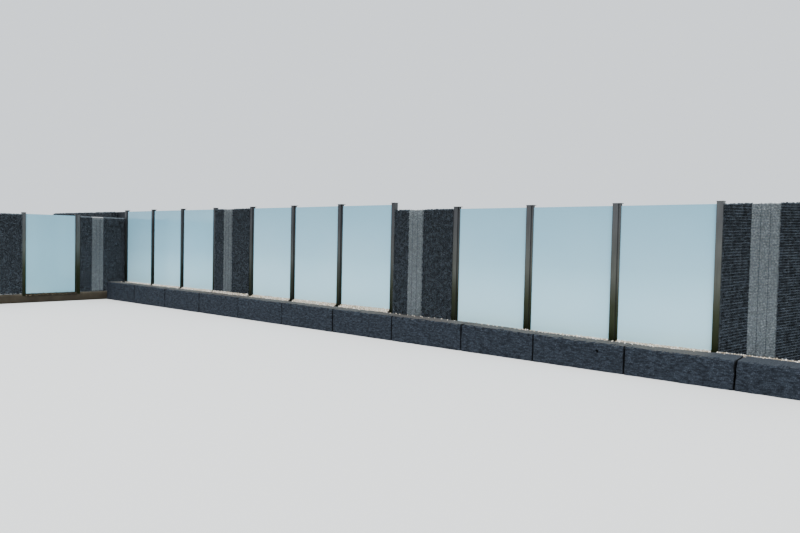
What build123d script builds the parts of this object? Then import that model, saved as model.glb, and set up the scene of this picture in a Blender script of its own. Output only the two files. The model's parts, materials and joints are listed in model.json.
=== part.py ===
from build123d import *
import os

# Gabion privacy screen: stone-filled wire baskets and milky glass panes between steel posts,
# behind a plinth of split granite blocks. A wing crosses its left end at right angles, and a plain
# row of baskets runs on behind the wing.
# Millimetres. X runs along the main run, Y points behind it and Z is up. The origin is the
# middle of the corner post's foot, and every other post's foot lies in the same level.

# Posts: a tube with a front cover, folded back at its left edge, and a glazing bead at its right
cover_width = 80
cover_thickness = 5
cover_proud = 25
tube_inset = 30
tube_depth = 80
tube_wall = 5
bead_width = 36
bead_thickness = 5
lip_thickness = 5
cap_thickness = 10
cap_overhang = 3
post_above_pane = 27
foot_thickness = 12

# Glass and its rubber gaskets
glass_thickness = 12
glass_arris = 1.5
gasket_thickness = 4
gasket_width = 5
pane_tuck = 22
pane_edge_gap = 8

# Glazed bays, from one post's left edge to the next
pane_bay = 1335
wing_pane_bay = 1272
field_pane_count = 3
field_count = 3
fields_before_drop = 2

# Baskets
cell_width = 104
wing_cell_width = 98
wire = 5
basket_depth = 200
basket_proud = 45
basket_gap = 5
basket_cell_count = 12
cells_before_stripe = 3
cells_in_stripe = 3
tie_rows = 3
basket_below_pane = 10
basket_above_pane = 5
wing_basket_drop = 5

# Plain baskets that run on behind the wing, and the sheet that closes the corner before them
rear_basket_count = 3
rear_from_corner = 650
closing_sheet = 5
sheet_behind_tube = 27

# Heights of the panes' lower edges, which step down from the left to the right field
pane_height = 1810
wing_pane_height = 1888
left_pane_foot = 455
right_pane_foot = 363
wing_pane_foot = 217

# Plinth of granite blocks, its top edge falling in two slopes with the ground
block_pitch = 1410
knee_block_pitch = 1241
lower_block_pitch = 1320
block_joint = 8
block_depth = 350
block_arris = 8
knee_block_count = 8
plinth_top_left = 445
plinth_top_knee = 403
plinth_top_right = 320

# Gravel bed and concrete footing behind the blocks
block_back = 130
bed_behind = 100
bed_below_block = 45
bed_depth = 60
wing_footing_top = 160
wing_left_of_corner = 60
wing_past_glass = 33
wing_back_margin = 40

# Depths are counted from the front face of the glass, to the back, and widths along the run
basket_back = basket_depth - basket_proud
basket_clear_front = -basket_proud - basket_gap
footing_back = basket_back + bed_behind
glass_back = glass_thickness + gasket_thickness
bead_front = gasket_thickness + bead_thickness
tube_width = cover_width - tube_inset
tube_back = tube_depth - cover_proud
basket_width = basket_cell_count * cell_width + wire
gabion_bay = cover_width + basket_width + 2 * basket_gap
wing_basket_width = basket_cell_count * wing_cell_width + wire
wing_gabion_bay = cover_width + wing_basket_width + 2 * basket_gap

# The corner post's left edge and the glass, from the middle of that post's tube
corner_x = -(tube_inset + tube_width / 2)
glass_y = -(tube_back - cover_proud) / 2


def post_starts(first, fields):
    """Left edges of a row of posts, from its first post and the bays that follow it."""
    starts = [first]
    for bay in fields:
        starts.append(starts[-1] + bay)
    return starts


field = [pane_bay] * field_pane_count
main_bays = (field + [gabion_bay]) * field_count
posts_x = post_starts(corner_x, main_bays)
run_end = posts_x[-1] + cover_width
posts_before_drop = fields_before_drop * (field_pane_count + 1)
rear_right = corner_x - rear_from_corner
rear_left = rear_right - rear_basket_count * (basket_width + basket_gap) + basket_gap

# The wing is fitted from the corner outwards, so its posts are mirrored and start at their right
wing_inner_end = glass_y + wing_past_glass
wing_face_x = corner_x - wing_left_of_corner
wing_posts = post_starts(
    wing_inner_end - wing_basket_width - basket_gap, [-wing_pane_bay, -wing_gabion_bay]
)
wing_outer_end = wing_posts[2] - cover_width
wing_glass_x = wing_face_x - basket_proud
wing_bed_x = wing_glass_x - basket_back - wing_back_margin


def main_plane(along, height=0):
    """Plan frame of the main run: x along it to the right, y behind it."""
    return Plane(origin=(along, glass_y, height), x_dir=(1, 0, 0), z_dir=(0, 0, 1))


def wing_plane(along, height=0):
    """Plan frame of the wing, which faces +X: x along it to the right, y behind it."""
    return Plane(origin=(wing_glass_x, along, height), x_dir=(0, 1, 0), z_dir=(0, 0, 1))


def block_joint_x(number):
    """Left end of a block; the blocks past the knee are shorter, the first of them most."""
    x = wing_face_x + min(number, knee_block_count) * block_pitch
    past_knee = number - knee_block_count
    if past_knee > 0:
        x += knee_block_pitch + (past_knee - 1) * lower_block_pitch
    return x


def plinth_top(x):
    """Height of the blocks' top edge at x."""
    knee_x = block_joint_x(knee_block_count)
    if x < knee_x:
        share = (x - wing_face_x) / (knee_x - wing_face_x)
        return plinth_top_left + share * (plinth_top_knee - plinth_top_left)
    share = (x - knee_x) / (run_end - knee_x)
    return plinth_top_knee + share * (plinth_top_right - plinth_top_knee)


def bed_top(x):
    return plinth_top(x) - bed_below_block


def bed_bottom(x):
    return bed_top(x) - bed_depth


def edge_points(left, height_at):
    """Points of a long edge that follows the plinth's two slopes, from left to the run's end."""
    return [(x, height_at(x)) for x in (left, block_joint_x(knee_block_count), run_end)]


def box(x0, x1, y0, y1, side=1):
    """A rectangle in the sketch that is open, from its corners, mirrored where side is -1."""
    with Locations((side * (x0 + x1) / 2, (y0 + y1) / 2)):
        Rectangle(x1 - x0, y1 - y0)


def make_post(plan, ground, top, bead, side=1):
    """One post: tube from its foot plate to its cap, cover and lips from the ground upwards."""
    bead_end = cover_width + bead_width
    with BuildPart() as post:
        with BuildSketch(plan):
            box(tube_inset, cover_width, -cover_proud, tube_back, side)
        extrude(amount=top)
        with BuildSketch(plan.offset(ground)):
            # front cover and its folded edge
            box(0, tube_inset, -cover_proud, -cover_proud + cover_thickness, side)
            box(0, cover_thickness, -cover_proud, -gasket_thickness, side)
            # lip behind the pane that ends at this post
            box(gasket_width, tube_inset, glass_back, glass_back + lip_thickness, side)
            if bead:
                box(cover_width, bead_end, glass_back, glass_back + lip_thickness, side)
                box(cover_width, bead_end, -bead_front, -gasket_thickness, side)
        extrude(amount=top - ground)
        # hollow of the tube, closed by the foot plate and the cap
        with BuildSketch(plan.offset(foot_thickness)):
            box(
                tube_inset + tube_wall,
                cover_width - tube_wall,
                -cover_proud + tube_wall,
                tube_back - tube_wall,
                side,
            )
        extrude(amount=top - foot_thickness, mode=Mode.SUBTRACT)
        with BuildSketch(plan.offset(top)):
            cap_end = bead_end if bead else cover_width
            box(
                -cap_overhang,
                cap_end + cap_overhang,
                -cover_proud - cap_overhang,
                tube_back + cap_overhang,
                side,
            )
        extrude(amount=cap_thickness)
    return post


def make_pane(plan, bay, height, side=1):
    """One pane, its near edge behind the bead, its far edge tucked behind the next cover."""
    with BuildPart() as pane:
        with BuildSketch(plan):
            box(cover_width + pane_edge_gap, bay + pane_tuck, 0, glass_thickness, side)
        extrude(amount=height)
        chamfer(pane.edges().filter_by(Axis.Z), glass_arris)
    return pane


def make_gaskets(plan, bay, height, side=1):
    """Rubber strips before and behind both upright edges of one pane."""
    bead_end = cover_width + bead_width
    lip_gasket = bay + gasket_width
    with BuildPart() as gaskets:
        with BuildSketch(plan):
            box(bead_end - gasket_width, bead_end, -gasket_thickness, 0, side)
            box(bead_end - gasket_width, bead_end, glass_thickness, glass_back, side)
            box(bay, bay + gasket_width, -gasket_thickness, 0, side)
            box(lip_gasket, lip_gasket + gasket_width, glass_thickness, glass_back, side)
        extrude(amount=height)
    return gaskets


def make_basket(plan, height, cell):
    """Welded wire cage: uprights at every cell, and the rows that tie them."""
    length = basket_cell_count * cell + wire
    row_pitch = (height - wire) / (tie_rows - 1)
    side_middle = height / 2
    front_origin = plan.from_local_coords((0, -basket_proud, 0))
    back_origin = plan.from_local_coords((0, basket_back - wire, 0))
    with BuildPart() as basket:
        for origin in (front_origin, back_origin):
            face = Plane(origin=origin, x_dir=plan.x_dir, z_dir=-plan.z_dir.cross(plan.x_dir))
            with BuildSketch(face):
                with Locations((length / 2, side_middle)):
                    with GridLocations(cell, 0, basket_cell_count + 1, 1):
                        Rectangle(wire, height)
                    with GridLocations(0, row_pitch, 1, tie_rows):
                        Rectangle(length, wire)
            extrude(amount=-wire)
        for start in (0, length - wire):
            origin = plan.from_local_coords((start, basket_depth / 2 - basket_proud, 0))
            end = Plane(origin=origin, x_dir=plan.z_dir.cross(plan.x_dir), z_dir=plan.x_dir)
            with BuildSketch(end):
                with Locations((0, side_middle)):
                    Rectangle(wire, height)
                    with GridLocations(0, row_pitch, 1, tie_rows):
                        Rectangle(basket_depth - 2 * wire, wire)
            extrude(amount=wire)
    return basket


def make_stone(plan, spans, height):
    """Stone fill inside the wires, over each span of the basket's length."""
    with BuildPart() as stone:
        with BuildSketch(plan):
            for x0, x1 in spans:
                box(x0, x1, -basket_proud + wire, basket_back - wire)
        extrude(amount=height)
    return stone


def save(piece, name):
    piece.part.label = name
    export_step(piece.part, f"parts/{name}.step")


def save_gabion(name, plan, height, cell):
    stripe_start = cells_before_stripe * cell + wire / 2
    stripe_end = stripe_start + cells_in_stripe * cell
    dark_spans = [(wire, stripe_start), (stripe_end, basket_cell_count * cell)]
    save(make_basket(plan, height, cell), f"{name}_basket")
    save(make_stone(plan, dark_spans, height), f"{name}_dark_stone")
    save(make_stone(plan, [(stripe_start, stripe_end)], height), f"{name}_light_stone")


os.makedirs("parts", exist_ok=True)

# Posts of the main run
for number, x in enumerate(posts_x):
    pane_foot = left_pane_foot if number < posts_before_drop else right_pane_foot
    top = pane_foot + pane_height + post_above_pane
    bead = number < len(main_bays) and main_bays[number] == pane_bay
    post = make_post(main_plane(x), bed_bottom(x), top, bead)
    save(post, f"post_{number + 1:02d}")

# Posts of the wing, counted from the corner outwards
for number, y in enumerate(wing_posts):
    top = wing_pane_foot + wing_pane_height + post_above_pane
    post = make_post(wing_plane(y), wing_footing_top, top, number == 0, -1)
    save(post, f"wing_post_{number + 1}")

# Glazed fields and their gaskets
field_names = ["left", "middle", "right"]
gasket_parts = []
for number, name in enumerate(field_names):
    first_post = number * (field_pane_count + 1)
    pane_foot = left_pane_foot if first_post < posts_before_drop else right_pane_foot
    with BuildPart() as panes:
        for x in posts_x[first_post : first_post + field_pane_count]:
            add(make_pane(main_plane(x, pane_foot), pane_bay, pane_height).part)
            gasket_parts.append(make_gaskets(main_plane(x, pane_foot), pane_bay, pane_height).part)
    save(panes, f"{name}_panes")

wing_pane_plan = wing_plane(wing_posts[0], wing_pane_foot)
save(make_pane(wing_pane_plan, wing_pane_bay, wing_pane_height, -1), "wing_pane")
gasket_parts.append(make_gaskets(wing_pane_plan, wing_pane_bay, wing_pane_height, -1).part)
with BuildPart() as gaskets:
    for part in gasket_parts:
        add(part)
save(gaskets, "gaskets")

# Gabions of the main run, each after one glazed field
basket_height = pane_height + basket_below_pane + basket_above_pane
basket_starts = []
for number in range(len(field_names)):
    before = number * (field_pane_count + 1) + field_pane_count
    pane_foot = left_pane_foot if before < posts_before_drop - 1 else right_pane_foot
    start = posts_x[before] + cover_width + basket_gap
    foot = pane_foot - basket_below_pane
    basket_starts.append((start, foot))
    save_gabion(f"gabion_{number + 1}", main_plane(start, foot), basket_height, cell_width)

# Gabions of the wing
wing_basket_foot = wing_pane_foot - basket_below_pane
wing_basket_height = wing_pane_height + basket_below_pane - wing_basket_drop
wing_basket_starts = [
    wing_inner_end - wing_basket_width,
    wing_posts[1] - cover_width - basket_gap - wing_basket_width,
]
for number, start in enumerate(wing_basket_starts):
    plan = wing_plane(start, wing_basket_foot)
    save_gabion(f"wing_gabion_{number + 1}", plan, wing_basket_height, wing_cell_width)

# Rear row of baskets, dark stone throughout
rear_foot = left_pane_foot - basket_below_pane
rear_starts = [rear_left + number * (basket_width + basket_gap) for number in range(rear_basket_count)]
with BuildPart() as rear_baskets:
    for start in rear_starts:
        add(make_basket(main_plane(start, rear_foot), basket_height, cell_width).part)
save(rear_baskets, "rear_baskets")
rear_spans = [(start + wire, start + basket_width - wire) for start in rear_starts]
save(make_stone(main_plane(0, rear_foot), rear_spans, basket_height), "rear_dark_stone")

# Sheet behind the wing's inner end, folded forward at x = 0 to the middle of the corner post's tube
with BuildPart() as sheet:
    with BuildSketch(main_plane(0, left_pane_foot)):
        sheet_front = tube_back + sheet_behind_tube
        box(rear_right + basket_gap, 0, sheet_front, sheet_front + closing_sheet)
        box(-closing_sheet, 0, tube_back, sheet_front)
    extrude(amount=rear_foot + basket_height - left_pane_foot)
save(sheet, "closing_sheet")

# Granite blocks, the last one cut to end with the run
with BuildPart() as blocks:
    number = 0
    while block_joint_x(number) < run_end:
        x0 = block_joint_x(number) + (block_joint / 2 if number else 0)
        x1 = min(block_joint_x(number + 1) - block_joint / 2, run_end)
        with BuildSketch(Plane.XZ.offset(block_back - glass_y)):
            with BuildLine():
                Polyline((x0, 0), (x1, 0), (x1, plinth_top(x1)), (x0, plinth_top(x0)), close=True)
            make_face()
        extrude(amount=block_depth)
        number += 1
    front_edges = blocks.faces().filter_by(Axis.Y).group_by(Axis.Y)[0].edges()
    chamfer(front_edges, block_arris)
save(blocks, "plinth_blocks")

# Gravel bed, open round the posts, the gabions and the wing
with BuildPart() as bed:
    with BuildSketch(Plane.XZ.offset(-glass_y - footing_back)):
        with BuildLine():
            upper = reversed(edge_points(rear_right, bed_top))
            Polyline(*edge_points(rear_right, bed_bottom), *upper, close=True)
        make_face()
    extrude(amount=footing_back + block_back)
    for number, x in enumerate(posts_x):
        beaded = number < len(main_bays) and main_bays[number] == pane_bay
        right = cover_width + (bead_width if beaded else 0)
        with BuildSketch(main_plane(x)):
            box(0, right, -cover_proud, tube_back)
        extrude(amount=plinth_top_left, mode=Mode.SUBTRACT)
    for start, foot in basket_starts:
        with BuildSketch(main_plane(start)):
            box(0, basket_width, -basket_proud, basket_back)
        extrude(amount=plinth_top_left, mode=Mode.SUBTRACT)
    with BuildSketch(main_plane(0)):
        box(rear_left, wing_face_x, -block_back, basket_clear_front)
        box(wing_bed_x, wing_face_x, basket_clear_front, wing_past_glass)
    extrude(amount=plinth_top_left, mode=Mode.SUBTRACT)
save(bed, "gravel_bed")

# Concrete footing with a pad under each gabion, cast round the posts' tubes
with BuildPart() as footing:
    with BuildSketch(Plane.XZ.offset(-glass_y - footing_back)):
        with BuildLine():
            Polyline((run_end, 0), (rear_left, 0), *edge_points(rear_left, bed_bottom), close=True)
        make_face()
    extrude(amount=footing_back + block_back)
    for start, foot in basket_starts + [(start, rear_foot) for start in rear_starts]:
        with BuildSketch(main_plane(start)):
            box(0, basket_width, -basket_proud, basket_back)
        extrude(amount=foot)
    with BuildSketch(main_plane(0)):
        box(rear_left, wing_face_x, -block_back, basket_clear_front)
        box(wing_bed_x, wing_face_x, basket_clear_front, wing_past_glass)
    extrude(amount=plinth_top_left, mode=Mode.SUBTRACT)
    for x in posts_x:
        with BuildSketch(main_plane(x)):
            box(tube_inset, cover_width, -cover_proud, tube_back)
        extrude(amount=plinth_top_left, mode=Mode.SUBTRACT)
save(footing, "footing")

# The wing's own footing, which reaches into the main one as far as the wing's basket
with BuildPart() as wing_footing:
    with BuildSketch(wing_plane(0)):
        box(wing_outer_end, wing_inner_end, -basket_proud, basket_back + wing_back_margin)
    extrude(amount=wing_footing_top)
    for start in wing_basket_starts:
        with BuildSketch(wing_plane(start)):
            box(0, wing_basket_width, -basket_proud, basket_back)
        extrude(amount=wing_basket_foot)
    for y in wing_posts:
        with BuildSketch(wing_plane(y)):
            box(tube_inset, cover_width, -cover_proud, tube_back, -1)
        extrude(amount=wing_footing_top, mode=Mode.SUBTRACT)
save(wing_footing, "wing_footing")
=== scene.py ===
import json
import math
import random

import bmesh
import bpy
from mathutils import Matrix, Vector, noise

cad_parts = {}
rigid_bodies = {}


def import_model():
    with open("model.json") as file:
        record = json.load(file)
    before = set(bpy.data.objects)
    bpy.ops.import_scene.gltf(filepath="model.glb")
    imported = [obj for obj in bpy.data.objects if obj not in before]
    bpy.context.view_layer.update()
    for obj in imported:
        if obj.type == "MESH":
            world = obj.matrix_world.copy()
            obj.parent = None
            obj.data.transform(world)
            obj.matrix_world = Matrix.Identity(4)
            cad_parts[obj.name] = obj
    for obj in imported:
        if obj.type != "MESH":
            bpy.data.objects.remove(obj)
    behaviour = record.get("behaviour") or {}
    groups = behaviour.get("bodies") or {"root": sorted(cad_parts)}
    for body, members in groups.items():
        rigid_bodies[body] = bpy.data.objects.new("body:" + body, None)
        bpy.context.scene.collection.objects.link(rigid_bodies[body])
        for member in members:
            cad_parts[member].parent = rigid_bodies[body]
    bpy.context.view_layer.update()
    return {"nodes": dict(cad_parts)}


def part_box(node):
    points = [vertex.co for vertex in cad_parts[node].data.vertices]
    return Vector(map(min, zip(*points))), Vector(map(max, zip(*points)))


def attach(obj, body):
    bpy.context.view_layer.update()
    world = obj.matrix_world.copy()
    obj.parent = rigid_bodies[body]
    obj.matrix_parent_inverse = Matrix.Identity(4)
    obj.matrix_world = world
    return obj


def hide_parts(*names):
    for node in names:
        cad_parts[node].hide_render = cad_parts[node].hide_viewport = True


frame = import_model()
nodes = frame["nodes"]
scene = bpy.context.scene
print("frame loaded:", len(nodes), "nodes")


# camera at the photograph's place and angle
view = {
    "eye": (17.393, -9.010, 1.620),
    "turn": -0.7201,    # radians from +Y, to the left
    "tilt": -0.0346,
    "roll": 0.0214,
    "lens": 31.424,     # mm on the sensor
    "sensor": 36,
    "reach": 200,       # metres
}
cameraData = bpy.data.cameras.new("photoCamera")
camera = bpy.data.objects.new("photoCamera", cameraData)
scene.collection.objects.link(camera)
scene.camera = camera
cameraData.lens = view["lens"]
cameraData.sensor_width = view["sensor"]
cameraData.clip_end = view["reach"]
ahead = Vector((
    math.sin(view["turn"]) * math.cos(view["tilt"]),
    math.cos(view["turn"]) * math.cos(view["tilt"]),
    math.sin(view["tilt"]),
))
right = ahead.cross(Vector((0, 0, 1))).normalized()
up = right.cross(ahead)
rolledRight = math.cos(view["roll"]) * right + math.sin(view["roll"]) * up
rolledUp = math.cos(view["roll"]) * up - math.sin(view["roll"]) * right
camera.matrix_world = Matrix.Translation(view["eye"]) @ Matrix(
    (rolledRight, rolledUp, -ahead)).transposed().to_4x4()


def hexColour(code):    # sRGB hex to the linear colour that sockets take
    channels = [int(code[i:i + 2], 16) / 255 for i in (0, 2, 4)]
    return [c / 12.92 if c < 0.04045 else ((c + 0.055) / 1.055) ** 2.4 for c in channels] + [1]


# adds a node with its settings, values, links and a colour ramp's stops, and returns one output.
# Sockets that share a name go by number
def addNode(tree, kind, settings={}, values={}, links={}, stops=(), out=0):
    node = tree.nodes.new(kind)
    for name, value in settings.items():
        setattr(node, name, value)
    for name, value in values.items():
        node.inputs[name].default_value = value
    for name, source in links.items():
        tree.links.new(source, node.inputs[name])
    if stops:
        elements = node.color_ramp.elements
        while len(elements) < len(stops):
            elements.new(0.5)
        for element, (spot, code) in zip(elements, stops):
            element.position = spot
            element.color = hexColour(code)
    return node.outputs[out] if node.outputs else None


def newMaterial(name, roughness, metallic=0.0, sheen=0.5):    # rough stone sheds little sheen
    made = bpy.data.materials.new(name)
    made.use_nodes = True
    tree = made.node_tree
    bsdf = tree.nodes["Principled BSDF"]
    bsdf.inputs["Roughness"].default_value = roughness
    bsdf.inputs["Metallic"].default_value = metallic
    bsdf.inputs["Specular IOR Level"].default_value = sheen
    return made, tree, bsdf


# cloudy noise; cell is its size in mm, or its sizes along x, y and z
def pattern(tree, cell, detail):
    sizes = cell if isinstance(cell, tuple) else (cell, cell, cell)
    where = addNode(tree, "ShaderNodeTexCoord", out="Object")
    scaled = addNode(tree, "ShaderNodeMapping", {}, {"Scale": [1000 / size for size in sizes]},
                     {"Vector": where})
    return addNode(tree, "ShaderNodeTexNoise", {}, {"Scale": 1, "Detail": detail},
                   {"Vector": scaled})


def shareAlong(tree, vector, axis, start, end):    # 0 to 1, as the vector goes from start to end
    part = addNode(tree, "ShaderNodeSeparateXYZ", links={"Vector": vector}, out=axis)
    return addNode(tree, "ShaderNodeMapRange", {}, {"From Min": start, "From Max": end},
                   {"Value": part})


def mottled(tree, cell, detail, stops):    # colours in patches
    return addNode(tree, "ShaderNodeValToRGB", links={"Fac": pattern(tree, cell, detail)},
                   stops=stops)


def graded(tree, vector, axis, start, end, stops):    # colours that change along one axis
    return addNode(tree, "ShaderNodeValToRGB",
                   links={"Fac": shareAlong(tree, vector, axis, start, end)}, stops=stops)


multiply = {"data_type": "RGBA", "blend_type": "MULTIPLY"}    # settings of a Mix node


# colours that are multiplied together, and fine relief with its depth in mm
def dress(tree, bsdf, colours, height=None, depth=0):
    total = colours[0]
    for colour in colours[1:]:
        total = addNode(tree, "ShaderNodeMix", multiply, {0: 1}, {6: total, 7: colour}, out=2)
    tree.links.new(total, bsdf.inputs["Base Color"])
    if height is not None:
        bump = addNode(tree, "ShaderNodeBump", {}, {"Distance": depth / 1000}, {"Height": height})
        tree.links.new(bump, bsdf.inputs["Normal"])


# crushed stone: each stone has its own tone, up to 0.45 of the ramp, with fine crystals a few mm
# wide. The carrier behind them (tone 0) is darkest, painted shade in the gaps. The rim (tone 1) is a
# painted highlight, pale, and facets that face up are pale with painted top light and dust. Spots
# are 50 mm wide. The last two colours are painted shade: one dulls what lies above 1.3 m, the other
# what lies left of x 5 m
def stoneMaterial(name, tones, crystals, spread, paintedTopLightAndDust, spots, paintedShadeAbove="ffffff", far="ffffff"):
    made, tree, bsdf = newMaterial(name, 0.9, sheen=0.1)
    where = addNode(tree, "ShaderNodeTexCoord", out="Object")
    facing = addNode(tree, "ShaderNodeNewGeometry", out="True Normal")
    tone = addNode(tree, "ShaderNodeAttribute", {"attribute_name": "stoneTone"}, out="Fac")
    grain = pattern(tree, crystals, 3)
    shift = addNode(tree, "ShaderNodeMath", {"operation": "MULTIPLY_ADD"},
                    {1: spread, 2: -spread / 2}, {0: grain})
    total = addNode(tree, "ShaderNodeMath", {"operation": "ADD"}, {}, {0: tone, 1: shift})
    tinted = addNode(tree, "ShaderNodeValToRGB", links={"Fac": total}, stops=tones)
    # painted top light and dust: facets that face up are paler
    paintedTopsAndDust = graded(tree, facing, "Z", 0.55, 0.95, [(0, "000000"), (1, paintedTopLightAndDust)])
    whole = addNode(tree, "ShaderNodeMix", {"data_type": "RGBA", "blend_type": "ADD"}, {0: 1},
                    {6: tinted, 7: paintedTopsAndDust}, out=2)
    spotted = mottled(tree, 50, 2, [(0.4, spots), (0.6, "ffffff")])
    # painted shade: darker above 1.3 m, and left of x 5 m
    paintedHighShade = graded(tree, where, "Z", 0.6, 1.3, [(0, "ffffff"), (1, paintedShadeAbove)])
    paintedFarShade = graded(tree, where, "X", 5, 9, [(0, far), (1, "ffffff")])
    dress(tree, bsdf, [whole, spotted, paintedHighShade, paintedFarShade], grain, 2)
    return made


crushedBasalt = stoneMaterial(
    "crushedBasalt",
    [(0, "010202"), (0.1, "070a0d"), (0.28, "0e1319"), (0.5, "1d252d"), (1, "6a7379")],
    crystals=4, spread=0.15, paintedTopLightAndDust="2c333a", spots="c4c4c4")
crushedGraniteLight = stoneMaterial(
    "crushedGraniteLight",
    [(0, "798082"), (0.1, "888f91"), (0.3, "969d9f"), (0.5, "a3aaab"), (1, "fafcfc")],
    crystals=3, spread=0.2, paintedTopLightAndDust="7a7e7f", spots="eeeeee", paintedShadeAbove="e4e4e4", far="e6e6e6")

# river pebbles: worn round, pale and chalky, and the wing's dark brown
roundPebble = stoneMaterial(
    "roundPebble", [(0, "a39a8c"), (0.1, "c0b7a6"), (0.25, "ece7dd"), (0.5, "fbf9f5")],
    crystals=7, spread=0.15, paintedTopLightAndDust="000000", spots="d8d0c2")
soiledPebble = stoneMaterial(
    "soiledPebble", [(0, "25221c"), (0.1, "332f27"), (0.3, "4e4839"), (0.5, "776c5a")],
    crystals=7, spread=0.15, paintedTopLightAndDust="000000", spots="a8a8a8")


# granite: split faces dark, with 6 mm grains and streaked patches 65 mm long, and painted shade in
# their joints and holes. Sawn tops are paler, partly their own finish and partly painted light from
# above, and right of x 14.8 m they are bluish with painted shade
def graniteMaterial():
    made, tree, bsdf = newMaterial("splitGranite", 0.9, sheen=0.15)
    where = addNode(tree, "ShaderNodeTexCoord", out="Object")
    facing = addNode(tree, "ShaderNodeNewGeometry", out="True Normal")
    cells = addNode(tree, "ShaderNodeTexVoronoi", {}, {"Scale": 1000 / 6}, {"Vector": where},
                    out="Color")
    grains = addNode(tree, "ShaderNodeSeparateXYZ", links={"Vector": cells}, out="X")
    split = addNode(tree, "ShaderNodeValToRGB", links={"Fac": grains},
                    stops=[(0, "1f242a"), (0.3, "2a3038"), (0.9, "343b45"), (1, "525a65")])
    patches = mottled(tree, (65, 40, 22), 8, [(0.36, "a0a3a8"), (0.64, "ffffff")])
    # painted shade in the blocks' joints and holes
    soil = addNode(tree, "ShaderNodeAttribute", {"attribute_name": "soil"}, out="Fac")
    shadedRecesses = addNode(tree, "ShaderNodeValToRGB", links={"Fac": soil},
                     stops=[(0, "ffffff"), (1, "303030")])
    # sawn tops: paler, partly their own finish and partly painted light from above
    sawn = addNode(tree, "ShaderNodeValToRGB", links={"Fac": grains},
                   stops=[(0, "393837"), (0.4, "484745"), (1, "5c5a57")])
    # painted shade: the sawn tops turn bluish and darker right of x 14.8 m
    darkening = graded(tree, where, "X", 14.55, 14.8, [(0, "ffffff"), (1, "c4d8f2")])
    streaked = addNode(tree, "ShaderNodeMix", multiply, {0: 1}, {6: split, 7: patches}, out=2)
    faces = addNode(tree, "ShaderNodeMix", multiply, {0: 1}, {6: streaked, 7: shadedRecesses}, out=2)
    tops = addNode(tree, "ShaderNodeMix", multiply, {0: 1}, {6: sawn, 7: darkening}, out=2)
    whole = addNode(tree, "ShaderNodeMix", {"data_type": "RGBA"}, {},
                    {0: shareAlong(tree, facing, "Z", 0.93, 0.99), 6: faces, 7: tops}, out=2)
    dress(tree, bsdf, [whole], pattern(tree, (36, 25, 16), 8), 16)
    return made


splitGranite = graniteMaterial()


# cast concrete: grey, with cloudy marks, darker and browner low down, within 0.4 m of the ground
def concreteMaterial():
    made, tree, bsdf = newMaterial("castConcrete", 0.9, sheen=0.2)
    where = addNode(tree, "ShaderNodeTexCoord", out="Object")
    cloudy = mottled(tree, 250, 8, [(0.3, "87857e"), (0.7, "b3b1a9")])
    darkening = graded(tree, where, "Z", 0.0, 0.4,
                  [(0, "453e34"), (0.4, "5b544a"), (0.55, "8b8478"), (0.8, "e9e7e1")])
    dress(tree, bsdf, [cloudy, darkening], pattern(tree, 4.5, 2), 2)
    return made


castConcrete = concreteMaterial()


# brushed stainless steel: its grain is 1 mm wide or less, drawn 4 mm wide because finer doesn't
# show, with smears, and a painted reflection of the lawn, green and darker at the foot. Side is the
# axis that the narrow sides face, which take a plain colour without that reflection, painted light
# to lift their shade, and far is painted shade that dulls what lies left of x 9 m
def steelMaterial(name, dark, light, foot, roughness, side, far):
    made, tree, bsdf = newMaterial(name, roughness, metallic=0.8)
    where = addNode(tree, "ShaderNodeTexCoord", out="Object")
    facing = addNode(tree, "ShaderNodeNewGeometry", out="True Normal")
    grain = pattern(tree, (4, 4, 500), 4)
    smears = pattern(tree, (200, 200, 450), 3)
    both = addNode(tree, "ShaderNodeMix", {}, {0: 0.5}, {2: grain, 3: smears})
    brushed = addNode(tree, "ShaderNodeValToRGB", links={"Fac": both},
                      stops=[(0.3, dark), (0.7, light)])
    # painted light on the narrow sides
    paintedSideLight = addNode(tree, "ShaderNodeValToRGB", links={"Fac": both},
                     stops=[(0.3, "4b4e4d"), (0.7, "626564")])
    # painted reflection of the lawn: green and darker at the foot, faintly blue at the top
    paintedLawnReflection = graded(tree, where, "Z", 0.3, 2.0,
                     [(0, foot), (0.3, "949f76"), (0.55, "f8fbee"), (1, "f0f0f6")])
    sideways = addNode(tree, "ShaderNodeSeparateXYZ", links={"Vector": facing}, out=side)
    squared = addNode(tree, "ShaderNodeMath", {"operation": "MULTIPLY"}, {},
                      {0: sideways, 1: sideways})
    fronts = addNode(tree, "ShaderNodeMix", multiply, {0: 1}, {6: brushed, 7: paintedLawnReflection}, out=2)
    whole = addNode(tree, "ShaderNodeMix", {"data_type": "RGBA"}, {},
                    {0: squared, 6: fronts, 7: paintedSideLight}, out=2)
    # painted shade: duller left of x 9 m
    paintedFarDimming = graded(tree, where, "X", 9, 14, [(0, far), (1, "f8f8f8")])
    dress(tree, bsdf, [whole, paintedFarDimming], grain, 0.6)
    return made


# foot is the colour of the painted lawn reflection at the foot, far that of the painted shade
brushedStainless = steelMaterial("brushedStainless", dark="494a49", light="666765", foot="536921",
                                 roughness=0.42, side="X", far="c6c6cb")
wingStainless = steelMaterial("brushedStainlessWing", dark="494a49", light="666765", foot="5b6632",
                              roughness=0.42, side="Y", far="f8f8f8")
weatheredSheet = steelMaterial("weatheredSheet", dark="1e2327", light="2b3136", foot="42472a",
                               roughness=0.6, side="X", far="f8f8f8")


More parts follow.
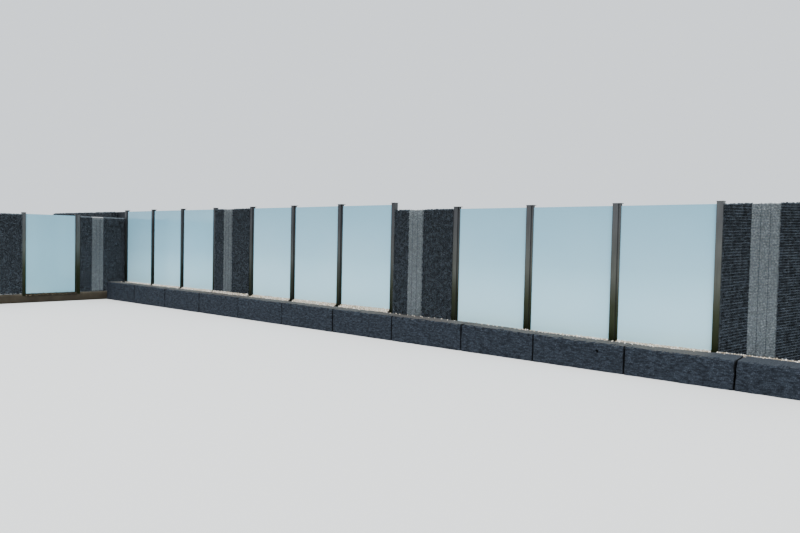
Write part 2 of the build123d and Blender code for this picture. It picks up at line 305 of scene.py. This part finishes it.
# galvanised steel wire: dull zinc with a little spangle, pale where it faces up with painted top
# light and dust, and dark on its sides with painted shade
def wireMaterial():
    made, tree, bsdf = newMaterial("galvanisedWire", 0.6, metallic=0.1, sheen=0.2)
    facing = addNode(tree, "ShaderNodeNewGeometry", out="Normal")
    sides = mottled(tree, 16, 2, [(0.3, "171a1d"), (0.7, "22272a")])
    tops = mottled(tree, 16, 2, [(0.3, "81909e"), (0.7, "9ba9b7")])
    # painted light: pale where the wire faces up, dark where it faces sideways or down
    paintedWireTopLight = addNode(tree, "ShaderNodeMix", {"data_type": "RGBA"}, {},
                     {0: shareAlong(tree, facing, "Z", 0.15, 0.7), 6: sides, 7: tops}, out=2)
    spotted = mottled(tree, 50, 2, [(0.4, "b0b0b0"), (0.6, "ffffff")])
    dress(tree, bsdf, [paintedWireTopLight, spotted])
    return made


galvanisedWire = wireMaterial()


# extruded rubber gasket: black, dull, with a faint bloom
def rubberMaterial():
    made, tree, bsdf = newMaterial("extrudedRubber", 0.65)
    dress(tree, bsdf, [mottled(tree, 40, 3, [(0.3, "0f1011"), (0.7, "1c1e1f")])])
    return made


extrudedRubber = rubberMaterial()


# laminated glass with a milky interlayer: white through and through, polished, faintly blue-green.
# The four tints given are painted light, at the foot, above it, half way up and at the top: lightest
# low down, darker higher up
def glassMaterial(name, paintedHeightLight):
    made, tree, bsdf = newMaterial(name, 0.1)
    where = addNode(tree, "ShaderNodeTexCoord", out="Object")
    milk = mottled(tree, 1250, 2, [(0.3, "c2eefb"), (0.7, "cbf3fe")])
    paintedHeightTint = graded(tree, where, "Z", 0.35, 2.3, list(zip((0, 0.12, 0.5, 1), paintedHeightLight)))
    dress(tree, bsdf, [milk, paintedHeightTint])
    bsdf.inputs["IOR"].default_value = 1.52
    return made


milkyLaminatedGlass = glassMaterial("milkyLaminatedGlass",
                                    ("ffffff", "f0faff", "c1d2db", "a1b6c1"))
# the wing's glass is the same glass painted darker, as shade
shadedWingGlass = glassMaterial("milkyLaminatedGlassWing", ("adbec4", "adbec4", "abbdc5", "9eb0b8"))

finishes = {    # by how a node's name starts or ends
    "post": brushedStainless, "wing_post": wingStainless, "panes": milkyLaminatedGlass,
    "wing_pane": shadedWingGlass, "gaskets": extrudedRubber, "footing": castConcrete,
    "gravel_bed": roundPebble, "basket": galvanisedWire, "rear_baskets": galvanisedWire,
    "dark_stone": crushedBasalt, "light_stone": crushedGraniteLight,
    "plinth_blocks": splitGranite, "closing_sheet": weatheredSheet,
}


def finishOf(name):
    for word, made in finishes.items():
        if name.startswith(word) or name.endswith(word):
            return made
    raise ValueError(name)


for name, item in nodes.items():
    item.data.materials.clear()
    item.data.materials.append(finishOf(name))
print("materials made")


def newPiece(name, mesh, material, replaced=()):
    mesh.name = name
    piece = bpy.data.objects.new(name, mesh)
    scene.collection.objects.link(piece)
    mesh.materials.clear()
    mesh.materials.append(material)
    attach(piece, "root")
    if replaced:
        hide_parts(*replaced)
    print(" ", name, sum(len(face.vertices) - 2 for face in mesh.polygons), "triangles")


def meshOf(bm, name="work"):
    mesh = bpy.data.meshes.new(name)
    bm.to_mesh(mesh)
    bm.free()
    return mesh


def alignedMesh(bm):    # with its faces turned the same way, outwards where it is closed
    bmesh.ops.recalc_face_normals(bm, faces=bm.faces)
    return meshOf(bm)


def joinMeshes(meshes):
    bm = bmesh.new()
    for mesh in meshes:
        bm.from_mesh(mesh)
    return meshOf(bm)


def stoneShapes(name, spec):    # a few knobbly shapes, one metre across, to be scaled later
    random.seed(spec["seed"])
    shelf = bpy.data.collections.new(name)
    for number in range(spec["shapes"]):
        bm = bmesh.new()
        bmesh.ops.create_icosphere(bm, subdivisions=1, radius=0.5)
        for vert in bm.verts:
            vert.co *= 1 - spec["reach"] * random.random()
        bmesh.ops.scale(bm, vec=spec["flat"], verts=bm.verts)
        mesh = meshOf(bm, f"{name}{number}")
        if spec["smooth"]:
            mesh.shade_smooth()
        shelf.objects.link(bpy.data.objects.new(mesh.name, mesh))
    return shelf


laying = {
    "crowd": 6,              # places tried for every square of the spacing
    "tones": (0.1, 0.45),    # of single stones
}


# one mesh of shapes from the shelf over a carrier's faces, with the carrier itself if it is kept,
# as painted shade in the gaps between them
def scatter(carrier, shelf, spacing, sizes, seed, kept=True):
    tree = bpy.data.node_groups.new("scatter", "GeometryNodeTree")
    for way in ("INPUT", "OUTPUT"):
        tree.interface.new_socket("Geometry", in_out=way, socket_type="NodeSocketGeometry")
    surface = addNode(tree, "NodeGroupInput")
    points = addNode(tree, "GeometryNodeDistributePointsOnFaces", {"distribute_method": "POISSON"},
                     {"Distance Min": spacing, "Seed": seed,
                      "Density Max": laying["crowd"] / spacing ** 2},
                     {"Mesh": surface})
    shapes = addNode(tree, "GeometryNodeCollectionInfo", {},
                     {"Collection": shelf, "Separate Children": True, "Reset Children": True})
    pick = addNode(tree, "FunctionNodeRandomValue", {"data_type": "INT"},
                   {4: 0, 5: len(shelf.objects) - 1, 8: seed + 1}, out=2)
    turn = addNode(tree, "FunctionNodeRandomValue", {"data_type": "FLOAT_VECTOR"},
                   {0: (0, 0, 0), 1: (math.tau, math.tau, math.tau), 8: seed + 2})
    size = addNode(tree, "FunctionNodeRandomValue", {"data_type": "FLOAT"},
                   {2: sizes[0], 3: sizes[1], 8: seed + 3}, out=1)
    laid = addNode(tree, "GeometryNodeInstanceOnPoints", {}, {"Pick Instance": True},
                   {"Points": points, "Instance": shapes, "Instance Index": pick,
                    "Rotation": turn, "Scale": size})
    tone = addNode(tree, "FunctionNodeRandomValue", {"data_type": "FLOAT"},
                   {2: laying["tones"][0], 3: laying["tones"][1], 8: seed + 4}, out=1)
    toned = addNode(tree, "GeometryNodeStoreNamedAttribute",
                    {"domain": "INSTANCE", "data_type": "FLOAT"}, {"Name": "stoneTone"},
                    {"Geometry": laid, "Value": tone})
    solid = addNode(tree, "GeometryNodeRealizeInstances", links={"Geometry": toned})
    both = addNode(tree, "GeometryNodeJoinGeometry", links={"Geometry": solid})
    if kept:
        tree.links.new(surface, both.node.inputs[0])
    addNode(tree, "NodeGroupOutput", links={0: both})

    holder = bpy.data.objects.new("carrier", carrier)
    scene.collection.objects.link(holder)
    holder.modifiers.new("scatter", "NODES").node_group = tree
    bpy.context.view_layer.update()
    mesh = bpy.data.meshes.new_from_object(
        holder.evaluated_get(bpy.context.evaluated_depsgraph_get()))
    bpy.data.objects.remove(holder)
    bpy.data.node_groups.remove(tree)
    return mesh


# gabions: broken stone behind uprights at every cell and close rows of thinner wire
stones = {"shapes": 12, "reach": 0.3, "flat": (1.0, 0.86, 0.7), "smooth": False, "seed": 11}
gabion = {
    "stoneDepth": 0.034,    # stone centres behind the outermost wire
    "endDepth": 0.012,      # the same at a free end
    "stoneSpacing": 0.030,
    "stoneSizes": (0.044, 0.058),
    "lightFiner": 0.75,     # the light stones' sizes and spacing against the dark ones'
    "rim": 0.014,           # stone centres below the basket's top edge
    # painted highlight: a pale band of stones at the top stands for the lit rim; the wing's band is
    # wider
    "paintedRim": 0.008,     # pale band at the top of the stones
    "wingPaintedRim": 0.026,
    "overlap": 0.020,       # how far stones are laid past a divider, before they are cut off at it
    "wall": 0.004,          # from a basket's end to the plane where its stones are cut off
    "cells": 12,            # between uprights, along the basket
    "wire": 0.0042,         # thickness of the rows
    "upright": 0.0046,      # and of the uprights
    "rowPitch": 0.018,
    "sides": 6,             # of a wire's section
    "seeds": (100, 20, 6),  # of the first gabion, from one to the next, and between its three fills
}


def boxBetween(bm, low, high):
    size = Vector(high) - Vector(low)
    centre = (Vector(high) + Vector(low)) / 2
    return bmesh.ops.create_cube(
        bm, matrix=Matrix.Translation(centre) @ Matrix.Diagonal((*size, 1)))["verts"]


# surface for stone centres over one span, with a wall at a free end and none at a divider. It is
# kept behind the stones as painted shade in their gaps
def stoneCarrier(plan, size, span, ends):
    depth, endDepth, overlap = gabion["stoneDepth"], gabion["endDepth"], gabion["overlap"]
    start = span[0] + (endDepth if ends[0] else -overlap)
    end = span[1] - (endDepth if ends[1] else -overlap)
    bm = bmesh.new()
    boxBetween(bm, (start, depth, depth / 2), (end, size.y - depth, size.z - gabion["rim"]))
    shut = [f for f in bm.faces if f.normal.z < -0.5 or (f.normal.x < -0.5 and not ends[0])
            or (f.normal.x > 0.5 and not ends[1])]
    bmesh.ops.delete(bm, geom=shut, context="FACES_ONLY")
    bmesh.ops.transform(bm, matrix=plan, verts=bm.verts)
    return meshOf(bm)


def rod(bm, start, end, thickness):
    start, end = Vector(start), Vector(end)
    run = end - start
    turned = run.to_track_quat("Z", "Y").to_matrix().to_4x4()
    bmesh.ops.create_cone(
        bm, cap_ends=False, segments=gabion["sides"], radius1=thickness / 2,
        radius2=thickness / 2, depth=run.length,
        matrix=Matrix.Translation((start + end) / 2) @ turned)


def wireCage(plan, size):    # the uprights stand inside the rows
    bm = bmesh.new()
    wire, upright = gabion["wire"], gabion["upright"]
    near = wire + upright / 2
    for number in range(gabion["cells"] + 1):
        x = near + number * (size.x - 2 * near) / gabion["cells"]
        for y in (near, size.y - near):
            rod(bm, (x, y, 0), (x, y, size.z), upright)
    for x in (near, size.x - near):
        rod(bm, (x, size.y / 2, 0), (x, size.y / 2, size.z), upright)
    rows = int((size.z - 2 * wire) / gabion["rowPitch"])
    for number in range(rows + 1):
        z = wire + number * gabion["rowPitch"]
        for y in (wire / 2, size.y - wire / 2):
            rod(bm, (0, y, z), (size.x, y, z), wire)
        for x in (wire / 2, size.x - wire / 2):
            rod(bm, (x, 0, z), (x, size.y, z), wire)
    bmesh.ops.transform(bm, matrix=plan, verts=bm.verts)
    mesh = meshOf(bm)
    mesh.shade_smooth()
    return mesh


# frame of one gabion, from its lowest front corner: x along its length and y behind its face
def planOf(name):
    low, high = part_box(name + "_basket")
    size = high - low
    if not name.startswith("wing"):
        return Matrix.Translation(low), size
    turned = Matrix(((0, -1, 0), (1, 0, 0), (0, 0, 1))).to_4x4()
    return Matrix.Translation((high.x, low.y, low.z)) @ turned, Vector((size.y, size.x, size.z))


stoneShelf = stoneShapes("crushedStone", stones)


# stones over one span, cut off at its two end planes
def fill(plan, size, span, ends, seed, coarser=1.0):
    sizes = [length * coarser for length in gabion["stoneSizes"]]
    spacing = gabion["stoneSpacing"] * coarser
    bm = bmesh.new()
    bm.from_mesh(scatter(stoneCarrier(plan, size, span, ends), stoneShelf, spacing, sizes, seed))
    tone = bm.verts.layers.float["stoneTone"]
    onWing = plan[1][0] > 0.5    # its x runs along Y
    paintedRim = gabion["wingPaintedRim" if onWing else "paintedRim"]
    # stones in the top band take tone 1, a painted highlight of the lit rim
    for vert in bm.verts:
        if vert[tone] > 0 and vert.co.z > plan.translation.z + size.z - paintedRim:
            vert[tone] = 1
    for x, outward, free in ((span[0], -1, ends[0]), (span[1], 1, ends[1])):
        cut = x - outward * gabion["wall"] if free else x
        bmesh.ops.bisect_plane(
            bm, geom=bm.verts[:] + bm.edges[:] + bm.faces[:], clear_outer=True,
            plane_co=plan @ Vector((cut, 0, 0)), plane_no=plan.to_3x3() @ Vector((outward, 0, 0)))
    return meshOf(bm)


firstSeed, nextSeed, fillSeed = gabion["seeds"]
gabionNames = [n.removesuffix("_basket") for n in sorted(nodes) if n.endswith("_basket")]
for count, name in enumerate(gabionNames):
    plan, size = planOf(name)
    inverse = plan.inverted()
    stripe = sorted((inverse @ corner).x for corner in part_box(name + "_light_stone"))
    seed = firstSeed + nextSeed * count
    sides = [fill(plan, size, (0, stripe[0]), (True, False), seed),
             fill(plan, size, (stripe[1], size.x), (False, True), seed + fillSeed)]
    newPiece(name + "_darkStones", joinMeshes(sides), crushedBasalt, [name + "_dark_stone"])
    light = fill(plan, size, stripe, (False, False), seed + 2 * fillSeed, gabion["lightFiner"])
    newPiece(name + "_lightStones", light, crushedGraniteLight, [name + "_light_stone"])
    newPiece(name + "_wires", wireCage(plan, size), galvanisedWire, [name + "_basket"])
print("gabions filled")


# the three baskets of dark stone behind the wing
rear = {"count": 3, "gap": 0.005, "coarser": 1.3, "seeds": (300, 20)}
low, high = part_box("rear_baskets")
rearSize = Vector(((high.x - low.x - (rear["count"] - 1) * rear["gap"]) / rear["count"],
                   high.y - low.y, high.z - low.z))
rearStones, rearCages = [], []
for number in range(rear["count"]):
    plan = Matrix.Translation(low + Vector((number * (rearSize.x + rear["gap"]), 0, 0)))
    seed = rear["seeds"][0] + rear["seeds"][1] * number
    rearStones.append(fill(plan, rearSize, (0, rearSize.x), (True, True), seed, rear["coarser"]))
    rearCages.append(wireCage(plan, rearSize))
newPiece("rearStones", joinMeshes(rearStones), crushedBasalt, ["rear_dark_stone"])
newPiece("rearWires", joinMeshes(rearCages), galvanisedWire, ["rear_baskets"])
print("rear baskets filled")


# granite blocks: split fronts, sawn tops with a chipped edge, half holes of the wedges along it.
# Waves are counted to a metre
blocks = {
    "first": -0.115, "pitches": [1.410] * 8 + [1.241] + [1.320] * 3, "end": 16.069,
    "joint": 0.008, "depth": 0.350, "back": -0.145,
    "tops": [(-0.115, 0.445), (11.165, 0.403), (13.4, 0.365), (16.069, 0.337)],    # x, z
    "tilt": (14.3, 14.9, 0.022),    # from and to where the back edge comes to stand higher
    "grid": (0.012, 0.018), "strip": 0.024,    # faces of the front, and the chipped strip behind it
    "mean": 0.006,          # the split face's mean place behind the front
    "swell": (0.012, 5),    # how far it stands in and out, and its waves
    "swellNoise": (0.9, 2.1, 6),    # how fast its finer scales fade, their ratio and number
    "ribs": (0.004, 9, 30, 12),    # the same of fine slanting ribs, along x and z, and their slant
    "endWorn": (0.014, 0.9), "topWorn": (0.020, 0.4),    # how wide and how steep edges are worn
    "chip": (0.026, 0.110),    # how deep and how far back the top edge is chipped
    "chips": (9, 0.2, 0.002),    # waves along the edge, how often they come, and the least depth
    "chipNoise": (0.8, 2.1, 4),
    "ends": (0.004, 0.004, 7),    # how far a block's ends lie back, by how much that varies, waves
    "drilled": (13.362, 0.258, 0.016, 0.035),    # x, z, radius and depth of a drilled hole
    "openJoint": (11, 0.010, 0.012, 0.060),    # block, extra width, lean and how far they reach
    "jointWaves": (0.006, 14),    # how far the open joint's edges wander, and their waves
    "wedges": {8: 0.155, 3: 0.180, 5: 0.170, 7: 0.160},    # spacing of half holes, by block
    "wedge": (0.012, 0.045, 0.012),    # radius, length and depth of a half hole
    # painted shade in the wedges' half holes, the drilled hole and the joints between blocks
    "soil": {"wedge": 0.5, "hole": 1, "joint": 0.8},    # how dark it makes them
    "seed": 500, "shift": 50,    # each block takes its noise from elsewhere, up to 50 m away
}
hair = 0.0001    # shorter than any real distance, in metres


def blockTop(x):
    for (x0, z0), (x1, z1) in zip(blocks["tops"], blocks["tops"][1:]):
        if x <= x1:
            break
    return z0 + (x - x0) / (x1 - x0) * (z1 - z0)


def backTop(x):
    x0, x1, rise = blocks["tilt"]
    return blockTop(x) + rise * min(1, max(0, (x - x0) / (x1 - x0)))


def splitBlock(x0, x1, number):
    bm = bmesh.new()
    front = blocks["back"] - blocks["depth"]
    edgeEnds = (blockTop(x0), blockTop(x1))
    for vert in boxBetween(bm, (x0, front, 0), (x1, blocks["back"], 1)):
        if vert.co.z > 0.5:
            vert.co.z = edgeEnds[0] if vert.co.x < (x0 + x1) / 2 else edgeEnds[1]
    bmesh.ops.bisect_plane(bm, geom=bm.verts[:] + bm.edges[:] + bm.faces[:],
                           plane_co=(0, front + blocks["strip"], 0), plane_no=(0, 1, 0))
    columns = int((x1 - x0) / blocks["grid"][0])
    rows = int(edgeEnds[0] / blocks["grid"][1])
    along = [e for e in bm.edges if abs(e.verts[0].co.x - e.verts[1].co.x) > hair]
    bmesh.ops.subdivide_edges(bm, edges=along, cuts=columns - 1, use_grid_fill=True)
    upright = [e for e in bm.edges if all(v.co.y < front + hair for v in e.verts)
               and abs(e.verts[0].co.x - e.verts[1].co.x) < hair]
    bmesh.ops.subdivide_edges(bm, edges=upright, cuts=rows - 1, use_grid_fill=True)

    # painted shade, kept per point, in the wedges' half holes, the drilled hole and the joints
    soil = bm.verts.layers.float.new("soil")
    random.seed(blocks["seed"] + number)
    shift = Vector([random.uniform(-blocks["shift"], blocks["shift"]) for side in range(3)])
    spacing = blocks["wedges"].get(number)
    radius, length, depth = blocks["wedge"]
    holeX, holeZ, holeRadius, holeDepth = blocks["drilled"]
    swell, swellWaves = blocks["swell"]
    rib, ribsAlong, ribsUp, slant = blocks["ribs"]
    chipDepth, chipReach = blocks["chip"]
    chipWaves, chipShare, leastChip = blocks["chips"]
    endBack, endVaried, endWaves = blocks["ends"]
    after, extra, lean, reach = blocks["openJoint"]
    jointVaried, jointWaves = blocks["jointWaves"]
    for vert in bm.verts:
        spot = vert.co + shift
        x, z = vert.co.x, vert.co.z
        endGap = min(x - x0, x1 - x)
        chip = max(0, chipShare + noise.fractal(Vector((spot.x * chipWaves, 1, 2)),
                                                *blocks["chipNoise"]))
        if vert.co.y < front + hair:
            below = blockTop(x) - z
            push = swell * noise.fractal(spot * swellWaves, *blocks["swellNoise"])
            push += rib * noise.noise(
                Vector((spot.x * ribsAlong, spot.z * ribsUp + spot.x * slant, 3)))
            push += (max(0, blocks["endWorn"][0] - endGap) * blocks["endWorn"][1]
                     + max(0, blocks["topWorn"][0] - below) * blocks["topWorn"][1])
            if below < hair:
                vert.co.z -= chipDepth * chip + leastChip
            if spacing:
                offset = abs((x - x0) % spacing - spacing / 2)
                if offset < radius and below < length:
                    push += depth * math.sqrt(1 - (offset / radius) ** 2)
                    vert[soil] = blocks["soil"]["wedge"]
            if math.hypot(x - holeX, z - holeZ) < holeRadius:
                push += holeDepth
                vert[soil] = blocks["soil"]["hole"]
            vert.co.y = front + blocks["mean"] + push
        elif vert.co.y < front + blocks["strip"] + hair:
            vert.co.y += chipReach * chip
        elif z > 0:
            vert.co.z = backTop(x)
        side = 1 if x < (x0 + x1) / 2 else -1
        if endGap < hair:
            vert[soil] = blocks["soil"]["joint"]
            vert.co.x += side * (
                endBack + endVaried * noise.noise(Vector((number, spot.z * endWaves, 5))))
        if endGap < reach and number == after - (side < 0):
            share = z / blockTop(x)
            shifted = lean * (share - 0.5)
            shifted += jointVaried * noise.noise(Vector((1, z * jointWaves, 7)))
            if side > 0:
                shifted += extra * share
            vert.co.x += (1 - endGap / reach) * shifted
    return alignedMesh(bm)


rowOfBlocks = []
start = blocks["first"]
for number, pitch in enumerate(blocks["pitches"]):
    x0 = start + (blocks["joint"] / 2 if number else 0)
    x1 = min(start + pitch - blocks["joint"] / 2, blocks["end"])
    rowOfBlocks.append(splitBlock(x0, x1, number))
    start += pitch
newPiece("splitBlocks", joinMeshes(rowOfBlocks), splitGranite, ["plinth_blocks"])
print("blocks split")


# pale pebbles over the gravel bed, heaped up to the panes' feet
pebbles = {"shapes": 10, "reach": 0.16, "flat": (1.0, 0.85, 0.62), "smooth": True, "seed": 12}
heap = {
    "near": -0.140, "far": 0.095,    # y of its edges, before and behind the run
    "foot": -0.012, "basketFoot": -0.062,    # y of its crest, at a pane and at a basket
    "drop": 0.030,          # how far its edges lie below the blocks' top
    "glassRise": 0.003,     # how far its crest lies above a pane's foot
    "basketRise": 0.012,    # and above a basket's foot
    "sunk": (2.6, 0.018),   # over this length from the corner the crest is up to this much lower
    "bare": "gabion_2",     # basket with no heap before it
    "steepest": 0.7,        # the bed's faces carry pebbles where their normal's z is at least this
    "raise": 0.012,         # pebble centres above the bed
    "spacing": 0.024, "sizes": (0.022, 0.036), "seed": 900,
}
strewn = {    # single pebbles on the blocks, in spans of x with their spacing
    "near": -0.225, "far": -0.148, "seeds": (950, 10),
    "spans": [(0.1, 11.1, 0.100), (11.2, 11.9, 0.070), (11.9, 13.35, 0.042), (13.4, 14.0, 0.050),
              (14.0, 16.0, 0.120)],
}


# face between two edges, each with its y and its heights at both xs
def quadOver(bm, xs, near, far):
    corners = [(x, near[0], z) for x, z in zip(xs, near[1])]
    corners += [(x, far[0], z) for x, z in reversed(list(zip(xs, far[1])))]
    bm.faces.new([bm.verts.new(corner) for corner in corners])


bm = bmesh.new()
bm.from_mesh(nodes["gravel_bed"].data)
bmesh.ops.remove_doubles(bm, verts=bm.verts, dist=hair)
bmesh.ops.delete(bm, context="FACES",
                 geom=[f for f in bm.faces if f.normal.z < heap["steepest"]])
bmesh.ops.translate(bm, vec=(0, 0, heap["raise"]), verts=bm.verts)
mainPosts = sorted(n for n in nodes if n.startswith("post_"))
for here, after in zip(mainPosts, mainPosts[1:]):
    xs = (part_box(here)[1].x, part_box(after)[0].x)
    infill = next(n for n in nodes if n.endswith(("_panes", "_basket"))
                  and not n.startswith("wing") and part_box(n)[0].x < sum(xs) / 2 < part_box(n)[1].x)
    if infill.startswith(heap["bare"]):
        continue
    glazed = infill.endswith("_panes")
    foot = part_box(infill)[0].z + heap["glassRise" if glazed else "basketRise"]
    crest = [foot - heap["sunk"][1] * max(0, 1 - x / heap["sunk"][0]) for x in xs]
    edge = [backTop(x) - heap["drop"] for x in xs]
    crestY = heap["foot" if glazed else "basketFoot"]
    quadOver(bm, xs, (heap["near"], edge), (crestY, crest))
    if glazed:
        quadOver(bm, xs, (heap["far"], edge), (crestY, crest))
pebbleShelf = stoneShapes("pebble", pebbles)
laid = [scatter(alignedMesh(bm), pebbleShelf, heap["spacing"], heap["sizes"], heap["seed"])]
for number, (*xs, spacing) in enumerate(strewn["spans"]):
    tops = [backTop(x) for x in xs]
    bm = bmesh.new()
    quadOver(bm, xs, (strewn["near"], tops), (strewn["far"], tops))
    seed = strewn["seeds"][0] + strewn["seeds"][1] * number
    laid.append(scatter(alignedMesh(bm), pebbleShelf, spacing, heap["sizes"], seed, kept=False))
newPiece("gravelPebbles", joinMeshes(laid), roundPebble, [])


# dark brown stones on the wing's footing, heaped up to its pane's foot
bank = {
    "width": 0.070, "near": 0.170,    # how far out and how high its edges lie
    "crest": 0.002,                   # above the pane's foot
    "spacing": 0.024, "sizes": (0.026, 0.040), "seed": 980,
}
low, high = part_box("wing_pane")
middle = (low.x + high.x) / 2
crest = low.z + bank["crest"]
bm = bmesh.new()
for edge in (middle - bank["width"], middle + bank["width"]):
    corners = [(edge, low.y, bank["near"]), (edge, high.y, bank["near"]), (middle, high.y, crest),
               (middle, low.y, crest)]
    bm.faces.new([bm.verts.new(corner) for corner in corners])
heaped = scatter(alignedMesh(bm), pebbleShelf, bank["spacing"], bank["sizes"], bank["seed"])
newPiece("wingPebbles", heaped, soiledPebble)
print("pebbles laid")


# plain pale floor, soft sky and a large soft lamp
stage = {"middle": (7, 0, -0.001), "size": 60, "colour": "e8e8e6", "sky": "e6ecf2",
         "skyStrength": 1.5}
bm = bmesh.new()
bmesh.ops.create_grid(bm, x_segments=1, y_segments=1, size=stage["size"],
                      matrix=Matrix.Translation(stage["middle"]))
floorMesh = meshOf(bm, "floor")
floor = bpy.data.objects.new("floor", floorMesh)
scene.collection.objects.link(floor)
floorPaint, _, bsdf = newMaterial("paleFloor", 0.9)
bsdf.inputs["Base Color"].default_value = hexColour(stage["colour"])
floorMesh.materials.append(floorPaint)

world = bpy.data.worlds.new("softSky")
scene.world = world
world.use_nodes = True
background = world.node_tree.nodes["Background"]
background.inputs["Color"].default_value = hexColour(stage["sky"])
background.inputs["Strength"].default_value = stage["skyStrength"]

softLamp = {"from": (0.37, -0.21, 0.91), "spread": 0.5, "strength": 3.7}
lampData = bpy.data.lights.new("highSoft", "SUN")
lampData.angle = softLamp["spread"]
lampData.energy = softLamp["strength"]
lamp = bpy.data.objects.new("highSoft", lampData)
scene.collection.objects.link(lamp)
lamp.matrix_world = (-Vector(softLamp["from"])).to_track_quat("-Z", "Y").to_matrix().to_4x4()
print("stage set")
